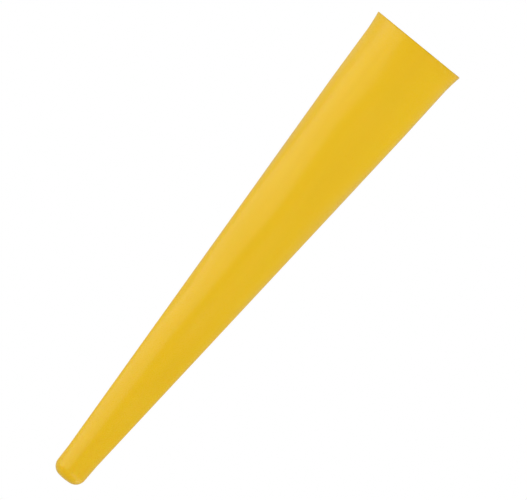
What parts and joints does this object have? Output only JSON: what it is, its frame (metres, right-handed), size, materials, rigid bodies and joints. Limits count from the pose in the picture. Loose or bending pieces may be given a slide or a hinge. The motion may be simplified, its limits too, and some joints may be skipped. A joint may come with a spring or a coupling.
{
  "type": "slip-on signal wand",
  "caption": "Long tapered yellow signal wand, hollow with a domed tip, whose open mouth slips over the head of a hand torch and is gripped there by a rubber bush.",
  "frame": {"origin": "centre of the mouth, on the plane of the rim that the wand stands on", "axes": "+Z along the wand's axis from the mouth to the domed tip; X and Y are any two directions across the round section"},
  "size_m": [0.045, 0.045, 0.24],
  "materials": {
    "shell_plastic": "satin moulded plastic, slightly translucent, amber yellow",
    "bush_rubber": "matt black moulded rubber",
    "ring_plastic": "satin moulded plastic, amber yellow"
  },
  "bodies": {
    "root": {"wand_shell": "shell_plastic", "grip_bush": "bush_rubber", "retaining_ring": "ring_plastic"}
  },
  "joints": []
}
